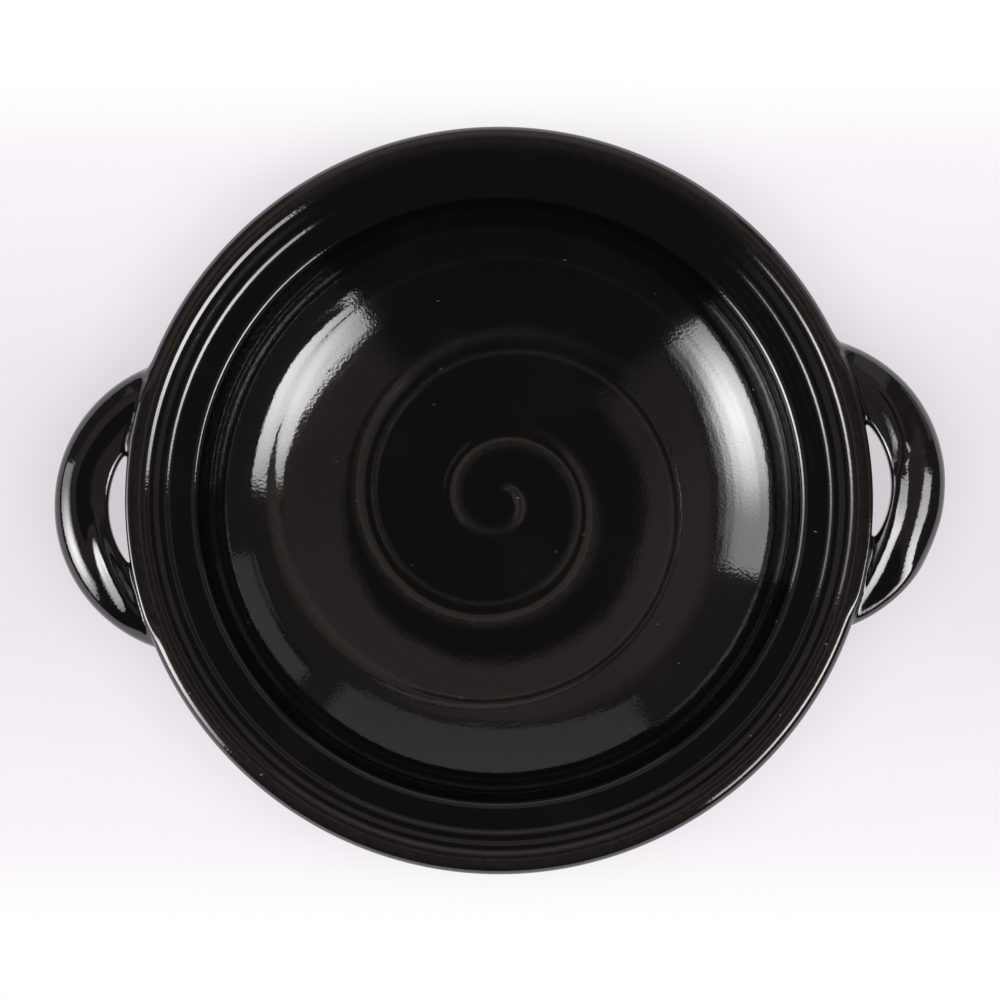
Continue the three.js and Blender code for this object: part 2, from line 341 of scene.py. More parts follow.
    marks = calc("ADD", calc("DIVIDE", radius_mm, THROWING_MARK_SPACING), turned)
    marks = calc("SINE", calc("MULTIPLY", marks, math.tau))
    marks = product(marks, given["Throwing Marks"], inside, ease(radius_mm, *THROWING_MARKS_FROM))
    relief = calc("MULTIPLY", crest, given["Crest Height"])
    relief = calc("ADD", relief, calc("MULTIPLY", outer, given["Outer Ridge Height"]))
    relief = calc("SUBTRACT", relief, calc("MULTIPLY", trough, given["Groove Depth"]))
    relief = calc("ADD", calc("MULTIPLY", relief, drawn), marks)

    def placed(radius, height):
        """A point of the dish, at the angle that the wheel has turned to."""
        inputs = {
            "X": calc("MULTIPLY", radius, calc("COSINE", angle)),
            "Y": calc("MULTIPLY", radius, calc("SINE", angle)),
            "Z": height,
        }
        return put("ShaderNodeCombineXYZ", inputs).outputs[0]

    inputs = {"Vector": placed(radius, 0.0), "Scale": WAVE_SCALE, "Detail": WAVE_DETAIL}
    wave = put("ShaderNodeTexNoise", inputs).outputs[0]
    wave = calc("MULTIPLY", calc("SUBTRACT", wave, 0.5), given["Waviness"])
    height = calc("ADD", height, calc("MULTIPLY_ADD", wave, inside, relief))

    beside = calc(
        "MAXIMUM",
        calc("COSINE", calc("SUBTRACT", angle, given["Right Handle"])),
        calc("COSINE", calc("SUBTRACT", angle, given["Left Handle"])),
    )
    press = ease(beside, given["Pressed To"], given["Pressed From"])
    radius = calc("MULTIPLY_ADD", press, pressed.outputs["X"], radius)
    height = calc("MULTIPLY_ADD", press, pressed.outputs["Z"], height)
    swell = calc("COSINE", calc("SUBTRACT", angle, given["Out Of Round Bearing"]))
    swell = calc("MULTIPLY_ADD", swell, given["Out Of Round"], 1.0)
    place = placed(calc("MULTIPLY", radius, swell), height)
    ridge = calc("MULTIPLY", calc("MAXIMUM", crest, outer), drawn)
    # the top of the lip is made browner
    on_lip = hump(calc("SUBTRACT", radius_mm, lip_centre[0]), BROWNER_LIP_REACH)
    ridge = calc("ADD", ridge, product(on_lip, inside, BROWNER_LIP))
    stored = put(
        "GeometryNodeStoreNamedAttribute",
        {"Geometry": grid.outputs["Mesh"], "Name": "ridge", "Value": ridge},
        data_type="FLOAT",
        domain="POINT",
    )
    shaped = put("GeometryNodeSetPosition", {"Geometry": stored.outputs[0], "Position": place})
    closed = put("GeometryNodeMergeByDistance", {"Geometry": shaped.outputs[0], "Distance": SEAM})
    soft = put("GeometryNodeSetShadeSmooth", {"Geometry": closed.outputs[0]})
    real = put("GeometryNodeRealizeInstances", {"Geometry": soft.outputs[0]})
    glazed = put(
        "GeometryNodeSetMaterial", {"Geometry": real.outputs[0], "Material": given["Glaze"]}
    )
    put("NodeGroupOutput", {0: glazed.outputs[0]})
    return tree


GLAZE_COLOUR = (0.0028, 0.0026, 0.0026, 1)
# also the colour that the top of the lip is made browner with
THIN_GLAZE_COLOUR = (0.012, 0.0105, 0.009, 1)
CLAY_COLOURS = ((0.17, 0.06, 0.03, 1), (0.3, 0.12, 0.06, 1))  # the dark and the pale of its grain
GLAZE_IOR = 1.8
GLAZE_ROUGHNESS = 0.06
CLAY_ROUGHNESS = 0.7
GRAIN_ROUGHNESS = 0.03
CLOUDS = (22.0, 4.0)  # scale and detail of the slow changes in the glaze
GRAIN = (420.0, 3.0)
PEEL = (900.0, 1.0)  # the fine unevenness of its surface
PEEL_DEPTH = 0.000022  # in metres
PIT_SCALE = 90.0
PIT_EDGE = (0.02, 0.05)  # the inside and the outside of a pit's edge, as shares of their spacing
PIT_DEPTH = 0.0002
THIN_GRAIN = (0.3, 0.7, 0.55, 1.0)  # how the grain breaks up the thin glaze on a ridge
THIN_CLOUDS = (0.5, 0.75, 0.0, 0.18)  # how the clouds thin it elsewhere
GLAZE_LINE = (0.0072, 0.0078)  # heights in metres over which the glaze ends above the foot
GLAZE_LINE_RUN = 0.006  # how far that line runs up and down


def black_glaze():
    """Thick black glaze, glossy, brown where it runs thin, over red-brown clay at the foot."""
    material = bpy.data.materials.new("black_glaze")
    material.use_nodes = True
    material.node_tree.nodes.clear()
    bench = Workbench(material.node_tree)
    put, calc, ease, mixed = bench.put, bench.calc, bench.ease, bench.mixed
    where = put("ShaderNodeTexCoord").outputs["Object"]
    height = put("ShaderNodeSeparateXYZ", {0: where}).outputs["Z"]
    ridge = put("ShaderNodeAttribute", attribute_name="ridge").outputs["Fac"]

    def noise(scale, detail):
        inputs = {"Vector": where, "Scale": scale, "Detail": detail}
        return put("ShaderNodeTexNoise", inputs).outputs["Fac"]

    clouds, grain, peel = noise(*CLOUDS), noise(*GRAIN), noise(*PEEL)
    pits = put("ShaderNodeTexVoronoi", {"Vector": where, "Scale": PIT_SCALE}).outputs["Distance"]
    pits = ease(pits, *PIT_EDGE)

    browner = calc("MULTIPLY", ridge, ease(grain, *THIN_GRAIN))
    browner = calc("ADD", browner, ease(clouds, *THIN_CLOUDS))
    glaze = mixed(browner, GLAZE_COLOUR, THIN_GLAZE_COLOUR)
    glazed = ease(calc("MULTIPLY_ADD", clouds, GLAZE_LINE_RUN, height), *GLAZE_LINE)
    colour = mixed(glazed, mixed(grain, *CLAY_COLOURS), glaze)
    roughness = calc("MULTIPLY_ADD", glazed, GLAZE_ROUGHNESS - CLAY_ROUGHNESS, CLAY_ROUGHNESS)
    roughness = calc("MULTIPLY_ADD", grain, GRAIN_ROUGHNESS, roughness)

    bumps = calc("MULTIPLY_ADD", pits, PIT_DEPTH, calc("MULTIPLY", peel, PEEL_DEPTH))
    bump = put("ShaderNodeBump", {"Height": bumps, "Strength": 1.0, "Distance": 1.0})
    shader = put(
        "ShaderNodeBsdfPrincipled",
        {
            "Base Color": colour,
            "Roughness": roughness,
            "Normal": bump.outputs[0],
            "IOR": GLAZE_IOR,
        },
    )
    put("ShaderNodeOutputMaterial", {"Surface": shader.outputs[0]})
    return material


def cosines(degrees):
    return [math.cos(math.radians(angle)) for angle in degrees]


glaze = black_glaze()
profile, inside_points = wheel_profile()
pressed_profile, _ = wheel_profile(LIP_SQUARENESS)
section = bpy.data.meshes.new("wheel_profile")
section.from_pydata(
    [(radius * MM, 0, height * MM) for radius, height in profile],
    [(point, point + 1) for point in range(len(profile) - 1)],
    [],
)
inside = section.attributes.new("inside", "FLOAT", "POINT")
inside.data.foreach_set("value", [float(point < inside_points) for point in range(len(profile))])
pressed = section.attributes.new("pressed", "FLOAT_VECTOR", "POINT")
shift = np.zeros((len(profile), 3))
shift[:, [0, 2]] = (pressed_profile - profile) * MM
pressed.data.foreach_set("vector", shift.ravel())
wheel = bpy.data.objects.new("wheel", section)
bpy.context.collection.objects.link(wheel)
throwing = wheel.modifiers.new("throwing", "NODES")
throwing.node_group = potters_wheel()
pressed_from, pressed_to = cosines(PRESSED_REACH)
settings = {
    "Points": len(profile),
    "Segments": 256,
    "Groove Depth": 0.35 * MM,
    "Crest Height": 0.2 * MM,
    "Outer Ridge Height": 0.2 * MM,
    "Throwing Marks": 0.012 * MM,
    "Waviness": 0.3 * MM,
    "Out Of Round": OUT_OF_ROUND,
    "Out Of Round Bearing": OUT_OF_ROUND_BEARING,
    "Right Handle": math.radians(HANDLE_BEARINGS["right"]),
    "Left Handle": math.radians(HANDLE_BEARINGS["left"]),
    "Pressed From": pressed_from,
    "Pressed To": pressed_to,
    "Glaze": glaze,
}
for socket in throwing.node_group.interface.items_tree:
    if socket.name in settings:
        throwing[socket.identifier] = settings[socket.name]
thrown = wheel.evaluated_get(bpy.context.evaluated_depsgraph_get())
dish = bpy.data.objects.new("thrown_dish_glazed", bpy.data.meshes.new_from_object(thrown))
bpy.context.collection.objects.link(dish)
bpy.data.objects.remove(wheel)
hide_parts("thrown_dish")
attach(dish, "root")

# The handles: straps of clay pulled by hand, bent to a loop and luted on under the lip with
# soft clay. The back roots are smoothed over into the rim, and the front ones are left crisp.
# The thumb left a ridge along the inner edge of each strap, with a bank that falls away from it.
HANDLE_REACH = 27.5  # beyond the rim
HANDLE_BEND = 46.0
HANDLE_DROP = 1.5  # below the top of the rim
STRAP_WIDTH = 21.0
STRAP_THICKNESS = 13.0
EDGE_ROUNDINGS = {"right": 3.0, "left": 1.5}  # along the outer edge of each strap
INNER_ROUNDING = 1.5
UNDER_ROUNDING = 5.0
TOP_STEEPNESS = 0.9  # scales the distance to the top, which the thumb's ridge makes too long
GAP_FILLETS = {"right": (4.0, 5.5), "left": (5.0, 3.5)}  # inside the loop, at the back and front
OUTER_FILLETS = (8.0, 2.8)  # outside it
FRONT_TO_BACK = (-20, 20)  # over which the fillets of the front become those of the back
CREASE = 1.3  # fillet between the top of a strap and the lip
CREASE_REACH = (4, 9)  # from the strap's middle, over which it becomes the fillet of an edge
FILLET_REACH = 1.6  # how far the clay of a root is smeared over the dish, in fillets
FEATHER = 0.06  # how far that clay sinks under the glaze at its edge
FEATHER_FROM = (0.7, 1.2)  # over what distance it does, in fillets
TOP_FEATHER = 0.25  # how far it sinks on top of the rim, inside the lip
TOP_FEATHER_FROM = (138.5, 135.5)  # radii over which it does
TOP_FEATHER_RISE = 2.0  # and the height above the lip's middle
UNDER_FLANGE = (135.0, 3.0)  # inside this radius, a root stays this far under the flange's top
# Sections of the straps: degrees round the bend, from the front root to the back one, then the
# lift of the top, the place of its crown and the radii to its inside and outside, and the place,
# height and width of the thumb's ridge.
STRAP_SECTIONS = {
    "right": (
        (-70, -3.2, -1.5, 30, 34, 3.5, 0.2, 3.0),
        (-60, -3.1, -1.5, 30, 34, 0.2, 0.9, 2.2),
        (-48, -2.4, -1.5, 30, 34, -4.2, 1.7, 3.0),
        (-36, -1.2, -1.8, 30, 18, -6.9, 1.9, 3.2),
        (-25, -0.4, -4.0, 30, 18, -8.2, 2.0, 3.4),
        (-14, 0.0, -6.0, 30, 23, -8.8, 2.0, 3.4),
        (-5, 0.1, -5.3, 30, 22, -8.4, 1.9, 3.2),
        (2, 0.3, -4.6, 30, 22, -7.9, 1.8, 3.1),
        (8, 0.5, -3.8, 24, 21, -6.4, 1.2, 2.8),
        (12, 0.6, -3.2, 20, 20, -5.0, 0.9, 3.0),
        (20, 0.6, -2.4, 20, 20, -2.9, 1.4, 3.3),
        (28, 0.55, -1.8, 20, 20, -1.6, 1.5, 3.6),
        (35, 0.5, -1.0, 20, 20, -0.4, 1.5, 3.8),
        (50, -0.6, -1.0, 20, 20, 1.5, 1.2, 4.5),
        (62, -1.6, -1.0, 20, 20, 1.5, 0.4, 4.5),
    ),
    "left": (
        (-70, -2.8, -0.5, 30, 11.8, 4.5, 0.4, 3.0),
        (-57, -2.5, -0.5, 30, 11.8, 2.2, 1.2, 3.0),
        (-46, -1.9, -0.5, 30, 11.8, -1.4, 2.1, 3.0),
        (-30, -0.6, -0.5, 30, 11.8, -4.2, 2.5, 2.8),
        (-14, 0.0, -0.3, 30, 11.6, -5.4, 1.2, 2.6),
        (0, 0.0, 0.6, 30, 10.4, -6.0, 0.0, 2.6),
        (12, 0.0, 1.4, 30, 9.6, -6.0, 0.0, 2.6),
        (38, 0.0, 0.2, 30, 11.0, -6.0, 0.0, 2.6),
        (60, -1.2, -0.5, 30, 12, -6.0, 0.0, 2.6),
    ),
}
ROOT_TURN = 1.85  # radians round the bend to where the strap ends inside the dish's wall
WALL_MIDDLE = (105.0, 0.25)  # its radius as far down as the foot, and how that grows with height
PITCH = 0.65  # spacing of the grid that the handles are shaped on
BOX_ALONG = (82.0, 172.0)  # the box of that grid, outwards from the dish's middle
BOX_ASIDE = 76.0
BOX_HEIGHTS = (24.0, 60.0)
SKIN_DEPTH = 2.5  # how far a root goes on under the dish's surface
CELL = 0.25  # spacing of the chart of distances to the dish
CHART_RADII = (105.0, 182.0)
CHART_HEIGHTS = (22.0, 66.0)
OUTLINE_FROM = 100.0  # inside this radius the dish is too far away to matter
BATCH = 20000  # points of it that are worked out at a time


def profile_distance(outline, spots):
    """Distance from (radius, height) spots to the dish's outline, less than 0 in the clay."""
    near = outline[outline[:, 0] > OUTLINE_FROM]
    start, step = near[:-1], np.diff(near, axis=0)
    result = np.empty(len(spots))
    for first in range(0, len(spots), BATCH):
        part = spots[first : first + BATCH]
        away = part[:, None] - start
        share = np.clip((away * step).sum(2) / (step * step).sum(1), 0, 1)
        away -= share[:, :, None] * step
        square = (away**2).sum(2)
        closest = square.argmin(1)
        row = np.arange(len(part))
        normal = np.stack([-step[closest, 1], step[closest, 0]], 1)
        side = np.where((away[row, closest] * normal).sum(1) < 0, -1.0, 1.0)
        result[first : first + BATCH] = side * np.sqrt(square[row, closest])
    return result


near_radii = np.arange(*CHART_RADII, CELL)
near_heights = np.arange(*CHART_HEIGHTS, CELL)
near_spots = np.stack(np.meshgrid(near_radii, near_heights, indexing="ij"), -1)
near_charts = [
    profile_distance(outline, near_spots.reshape(-1, 2)).reshape(near_spots.shape[:2])
    for outline in (profile, pressed_profile)
]


def dish_distance(points, bearing):
    """Distance to the dish's surface from points near a handle, read from the charts."""
    angle = np.arctan2(points[:, 1], points[:, 0])
    swell = 1 + OUT_OF_ROUND * np.cos(angle - OUT_OF_ROUND_BEARING)
    radius = np.hypot(points[:, 0], points[:, 1]) / swell
    place = [(radius - near_radii[0]) / CELL, (points[:, 2] - near_heights[0]) / CELL]
    cell, share = [], []
    for along, size in zip(place, near_spots.shape):
        corner = np.clip(along.astype(int), 0, size - 2)
        cell.append(corner)
        share.append(along - corner)
    distances = []
    for chart in near_charts:
        low = chart[cell[0], cell[1]] * (1 - share[1]) + chart[cell[0], cell[1] + 1] * share[1]
        high = chart[cell[0] + 1, cell[1]] * (1 - share[1])
        high += chart[cell[0] + 1, cell[1] + 1] * share[1]
        distances.append(low * (1 - share[0]) + high * share[0])
    pressed = smooth(np.cos(angle - bearing), pressed_to, pressed_from)
    return distances[0] + (distances[1] - distances[0]) * pressed


def rounded(first, second, radius):
    """Where two solids overlap, with the edge between them rounded."""
    corner = np.hypot(np.maximum(first + radius, 0), np.maximum(second + radius, 0))
    return np.minimum(np.maximum(first, second), -radius) + corner


def section_at(side, turn):
    """Sizes of a strap's section, on smooth curves through the sections in the table."""
    table = np.array(STRAP_SECTIONS[side], float)
    turns, sizes = np.radians(table[:, 0]), table[:, 1:]
    slopes = np.gradient(sizes, turns, axis=0)
    turn = np.clip(turn, turns[0], turns[-1])
    first = np.clip(np.searchsorted(turns, turn) - 1, 0, len(turns) - 2)
    step = turns[first + 1] - turns[first]
    share = (turn - turns[first]) / step
    rest = 1 - share
    parts = (
        (sizes[first], rest * rest * (1 + 2 * share)),
        (sizes[first + 1], share * share * (3 - 2 * share)),
        (slopes[first], step * share * rest * rest),
        (slopes[first + 1], -step * share * share * rest),
    )
    return sum(value * weight[:, None] for value, weight in parts).T


def strap_distance(points, side, towards):
    """Distance to a strap's surface, from points in the handle's own frame."""
    bend_centre = RIM_RADIUS + HANDLE_REACH - STRAP_WIDTH / 2 - HANDLE_BEND
    turn = towards * np.arctan2(points[:, 1], points[:, 0] - bend_centre)
    across = np.hypot(points[:, 1], points[:, 0] - bend_centre) - HANDLE_BEND
    lift, crown_place, inner, outer, ridge_place, ridge_height, ridge_width = section_at(side, turn)
    up = points[:, 2] - (DISH_HEIGHT - HANDLE_DROP) - lift
    from_crown = across - crown_place
    crown = np.where(from_crown < 0, inner, outer)
    ridge = ridge_height * np.exp(-(((across - ridge_place) / ridge_width) ** 2))
    top = (np.hypot(from_crown, np.maximum(up + crown, 0)) - crown - ridge) * TOP_STEEPNESS
    section = rounded(top, across - STRAP_WIDTH / 2, EDGE_ROUNDINGS[side])
    section = rounded(section, -across - STRAP_WIDTH / 2, INNER_ROUNDING)
    section = rounded(section, -up - STRAP_THICKNESS, UNDER_ROUNDING)
    return np.maximum(section, (np.abs(turn) - ROOT_TURN) * HANDLE_BEND), across


def handle_distance(points, side, bearing, towards):
    """Distance to a handle whose roots are smoothed into the dish, at world points."""
    cosine, sine = math.cos(bearing), math.sin(bearing)
    own = np.stack(
        [
            points[:, 0] * cosine + points[:, 1] * sine,
            points[:, 1] * cosine - points[:, 0] * sine,
            points[:, 2],
        ],
        1,
    )
    strap, across = strap_distance(own, side, towards)
    dish = dish_distance(points, bearing)
    backness = smooth(points[:, 1], *FRONT_TO_BACK)
    back, front = GAP_FILLETS[side]
    fillet = np.where(
        across < 0,
        front + (back - front) * backness,
        OUTER_FILLETS[1] + (OUTER_FILLETS[0] - OUTER_FILLETS[1]) * backness,
    )
    fillet = CREASE + (fillet - CREASE) * smooth(np.abs(across), *CREASE_REACH)
    overlap = np.clip(1 - np.abs(strap - dish) / fillet, 0, 1)
    joined = np.minimum(strap, dish) - overlap**3 * fillet / 6
    feather = FEATHER * smooth(strap, *(share * fillet for share in FEATHER_FROM))
    radius = np.hypot(points[:, 0], points[:, 1])
    on_top = smooth(points[:, 2], lip_centre[1], lip_centre[1] + TOP_FEATHER_RISE)
    feather += TOP_FEATHER * on_top * smooth(radius, *TOP_FEATHER_FROM)
    kept = np.maximum(joined + feather, strap - FILLET_REACH * fillet)
    above = points[:, 2] - flange_height(radius) + UNDER_FLANGE[1]
    under_flange = np.minimum(UNDER_FLANGE[0] - radius, above)
    past_middle = WALL_MIDDLE[0] + WALL_MIDDLE[1] * points[:, 2] - radius
    in_wall = np.maximum(past_middle, -SKIN_DEPTH - dish)
    return np.maximum(np.maximum(kept, under_flange), in_wall)


def skin(field, low, high, pitch, rounds=3, nudge=0.05, flattest=0.2):
    """A closed skin where the field is zero: vertices in cells, and a quad for each crossing.
    In some rounds the vertices then move to the field's zero, along its slope."""
    shape = np.ceil((high - low) / pitch).astype(int) + 1
    axes = [low[axis] + pitch * np.arange(shape[axis]) for axis in range(3)]
    grid = np.stack(np.meshgrid(*axes, indexing="ij"), -1).reshape(-1, 3)
    value = field(grid).reshape(shape)
    total = np.zeros(tuple(shape) + (3,))
    count = np.zeros(shape)
    quads = []
    for axis in range(3):
        first = np.moveaxis(value, axis, 0)
        crossing = (first[:-1] < 0) != (first[1:] < 0)
        spots = np.argwhere(np.moveaxis(crossing, 0, axis))
        after = spots.copy()
        after[:, axis] += 1
        here, there = value[tuple(spots.T)], value[tuple(after.T)]
        place = spots.astype(float)
        place[:, axis] += here / (here - there)
        beside, above = np.eye(3, dtype=int)[(axis + 1) % 3], np.eye(3, dtype=int)[(axis + 2) % 3]
        cells = [spots, spots - beside, spots - beside - above, spots - above]
        for cell in cells:
            np.add.at(total, tuple(cell.T), place)
            np.add.at(count, tuple(cell.T), 1)
        ring = np.stack(cells, 1)
        ring[here > 0] = ring[here > 0][:, ::-1]
        quads.append(ring)
    used = np.argwhere(count > 0)
    number = np.full(shape, -1)
    number[tuple(used.T)] = np.arange(len(used))
    vertices = low + pitch * total[tuple(used.T)] / count[tuple(used.T)][:, None]
    quads = np.concatenate(quads)
    faces = number[quads[..., 0], quads[..., 1], quads[..., 2]]
    for _ in range(rounds):
        slope = np.stack(
            [
                (field(vertices + offset) - field(vertices - offset)) / (2 * nudge)
                for offset in nudge * np.eye(3)
            ],
            1,
        )
        square = np.maximum((slope**2).sum(1), flattest)
        move = field(vertices)[:, None] * slope / square[:, None]
        vertices = vertices - np.clip(move, -pitch / 3, pitch / 3)
    return vertices, faces


def largest_part(vertices, faces):
    """The largest joined part of a mesh, without the crumbs that its grid left beside it."""
    label, spread = None, np.arange(len(vertices))
    while label is None or (spread != label).any():
        label, spread = spread, spread.copy()
        lowest = label[faces].min(1)
        for corner in faces.T:
            np.minimum.at(spread, corner, lowest)
        spread = spread[spread]
    kept = label == np.bincount(label).argmax()
    number = np.cumsum(kept) - 1
    return vertices[kept], number[faces[kept[faces[:, 0]]]]


for side, degrees in HANDLE_BEARINGS.items():
    bearing = math.radians(degrees)
    towards = math.copysign(1, math.cos(bearing))
    low_along, high_along = sorted(towards * along for along in BOX_ALONG)
    low = np.array([low_along, -BOX_ASIDE, BOX_HEIGHTS[0]])
    high = np.array([high_along, BOX_ASIDE, BOX_HEIGHTS[1]])
    shaping = (side, bearing, towards)
    grown = skin(lambda spots: handle_distance(spots, *shaping), low, high, PITCH)
    vertices, faces = largest_part(*grown)
    mesh = bpy.data.meshes.new(f"{side}_handle_glazed")
    mesh.from_pydata((vertices * MM).tolist(), [], faces.tolist())
    mesh.validate()
    mesh.polygons.foreach_set("use_smooth", [True] * len(mesh.polygons))
    angle = np.arctan2(vertices[:, 1], vertices[:, 0])
    swell = 1 + OUT_OF_ROUND * np.cos(angle - OUT_OF_ROUND_BEARING)
    # the top of the lip over the handle's roots is made browner, as on the dish
    from_lip = np.hypot(vertices[:, 0], vertices[:, 1]) / swell - lip_centre[0]
    browner = BROWNER_LIP * np.exp(-((from_lip / BROWNER_LIP_REACH) ** 2))
    browner *= smooth(vertices[:, 2], lip_centre[1], lip_centre[1] + LIP_RADIUS)
    mesh.attributes.new("ridge", "FLOAT", "POINT").data.foreach_set("value", browner)
    mesh.materials.append(glaze)
    handle = bpy.data.objects.new(mesh.name, mesh)
    bpy.context.collection.objects.link(handle)
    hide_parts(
        f"{side}_handle",
        f"{side}_handle_back_luting",
        f"{side}_handle_front_luting",
    )
    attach(handle, "root")

# The table: a sheet of pale grey paper that the plate stands on, lit from above and through it
# from below. Its colour holds painted shade across the middle and painted light that makes it
# paler away from the plate, and the camera sees it run out to white.
TABLE_SIZE = 8.0  # in metres, as all that follows
SINK = 0.0002  # keeps its surface clear of the foot's
# the paper's colour in the painted shade across the middle
TABLE_COLOUR = (0.765, 0.73, 0.77, 1)
# the paper's colour where painted light makes it paler
PAINTED_LIGHT_COLOUR = (0.86, 0.82, 0.865, 1)
PAINTED_LIGHT_FROM = (0.01, 0.14)  # how far to the back and the front the painted light makes it paler
WHITE_FROM = (0.12, 0.165)  # and how far it runs out to white
TABLE_GLOW = 0.75  # share of its brightness that comes through it from a light below

table_mesh = bpy.data.meshes.new("table")
half = TABLE_SIZE / 2
table_mesh.from_pydata(
    [(-half, -half, -SINK), (half, -half, -SINK), (half, half, -SINK), (-half, half, -SINK)],
    [],
    [(0, 1, 2, 3)],
)
table = bpy.data.objects.new("table", table_mesh)
bpy.context.collection.objects.link(table)
paper = bpy.data.materials.new("paper")
paper.use_nodes = True
paper.node_tree.nodes.clear()
bench = Workbench(paper.node_tree)
where = bench.put("ShaderNodeTexCoord").outputs["Object"]
from_middle = bench.calc("ABSOLUTE", bench.put("ShaderNodeSeparateXYZ", {0: where}).outputs["Y"])
# painted shade in the middle that gives way to painted light towards the back and the front
painted_light_tone = bench.mixed(bench.ease(from_middle, *PAINTED_LIGHT_FROM), TABLE_COLOUR, PAINTED_LIGHT_COLOUR)
dull = bench.put("ShaderNodeBsdfDiffuse", {"Color": painted_light_tone}).outputs[0]
lit = bench.put("ShaderNodeEmission", {"Color": painted_light_tone}).outputs[0]
glowing = bench.put("ShaderNodeMixShader", {0: TABLE_GLOW, 1: dull, 2: lit}).outputs[0]
white = bench.put("ShaderNodeEmission").outputs[0]
seen = bench.put("ShaderNodeLightPath").outputs["Is Camera Ray"]
fade = bench.product(bench.ease(from_middle, *WHITE_FROM), seen)
surface = bench.put("ShaderNodeMixShader", {0: fade, 1: glowing, 2: white}).outputs[0]
bench.put("ShaderNodeOutputMaterial", {"Surface": surface})
table_mesh.materials.append(paper)

# The lights: a wide diffuser overhead that lights the table and the clay, and what the glaze
# mirrors: a softbox on each side, a small reflector and the grey backdrop beyond the plate,
# each an upright panel that faces the plate.
DIFFUSER_SIZE = 3.0
DIFFUSER_PLACE = (0.1, -0.5, 3.2)
DIFFUSER_POWER = 150.0
PANEL_DISTANCE = 0.9  # from the middle of the plate
BLACK = (0, 0, 0, 1)
PANELS = {
    "softbox_left": {
        "bearings": (164, 222),  # of its sides, in degrees
        "bottom": (8, 8),  # elevations, at the first bearing and at the last
        "top": (51, 51),
        "soft_top": 0.4,  # share of the height over which the cloth fades out
        "lamp": (200, 28),  # bearing and elevation of the bright spot on the cloth
        "lamp_reach": (0.45, 0.6),  # sideways and upright
        "cloth": 0.2,  # brightness of the rest of the cloth, as a share of the spot's
        "brightness": 11.2,
        "colour": (1.0, 0.98, 0.97),
    },
    "softbox_right": {
        "bearings": (305.5, 356),
        "bottom": (28.5, 32),
        "top": (54.5, 47),
        "soft_top": 0.12,
        "lamp": (331, 36),
        "lamp_reach": (0.48, 1.0),
        "cloth": 0.4,
        "brightness": 9.0,
        "colour": (1.0, 0.98, 0.97),
    },
    "reflector": {
        "bearings": (12, 42),
        "bottom": (5, 5),
        "top": (29, 29),
        "soft_top": 0.2,
        "lamp": (27, 15),
        "lamp_reach": (0.5, 0.5),
        "cloth": 0.8,
        "brightness": 0.36,
        "colour": (1.0, 0.95, 0.96),
    },
    "backdrop": {
        "bearings": (50, 124),
        "bottom": (4, 4),
        "top": (46, 46),
        "soft_top": 0.08,
        "lamp": (87, 20),
        "lamp_reach": (1.0, 1.0),
        "cloth": 0.85,
        "brightness": 0.34,
        "colour": (1.0, 0.94, 0.96),
    },
}

diffuser_data = bpy.data.lights.new("diffuser", "AREA")
diffuser_data.shape = "SQUARE"
diffuser_data.size = DIFFUSER_SIZE
diffuser_data.energy = DIFFUSER_POWER
diffuser = bpy.data.objects.new("diffuser", diffuser_data)
diffuser.location = DIFFUSER_PLACE
diffuser.visible_glossy = False
diffuser.visible_camera = False
bpy.context.collection.objects.link(diffuser)


def lamp_behind_cloth():
    """A shader group: the glow of a panel's cloth, with the bright spot of the lamp behind it."""
    tree = bpy.data.node_groups.new("lamp_behind_cloth", "ShaderNodeTree")
    names = ("Top", "Soft Top", "Lamp Aside", "Lamp Height", "Reach Aside", "Reach Upright", "Cloth")
    for name in names:
        tree.interface.new_socket(name=name, in_out="INPUT", socket_type="NodeSocketFloat")
    tree.interface.new_socket(name="Glow", in_out="OUTPUT", socket_type="NodeSocketFloat")
    bench = Workbench(tree)
    put, calc, ease = bench.put, bench.calc, bench.ease
    given = put("NodeGroupInput").outputs
    where = put("ShaderNodeTexCoord").outputs["Object"]
    split = put("ShaderNodeSeparateXYZ", {0: where}).outputs

    def from_lamp(place, lamp, reach):
        """The square of the distance from the lamp's middle, as a share of its reach."""
        share = calc("DIVIDE", calc("SUBTRACT", place, given[lamp]), given[reach])
        return calc("POWER", calc("ABSOLUTE", share), 2.0)

    aside = from_lamp(split["Y"], "Lamp Aside", "Reach Aside")
    upright = from_lamp(split["Z"], "Lamp Height", "Reach Upright")
    spot = ease(calc("SQRT", calc("ADD", aside, upright)), 0.0, 1.0, 1.0, 0.0)
    spot = calc("MULTIPLY_ADD", spot, calc("SUBTRACT", 1.0, given["Cloth"]), given["Cloth"])
    soft_from = calc("SUBTRACT", 1.0, given["Soft Top"])
    edge = ease(calc("DIVIDE", split["Z"], given["Top"]), soft_from, 1.0, 1.0, 0.0)
    put("NodeGroupOutput", {0: calc("MULTIPLY", spot, edge)})
    return tree


def out_on_panel(angle):
    """How far out on a panel an angle lands, as seen from the middle of the plate."""
    return PANEL_DISTANCE * math.tan(math.radians(angle))


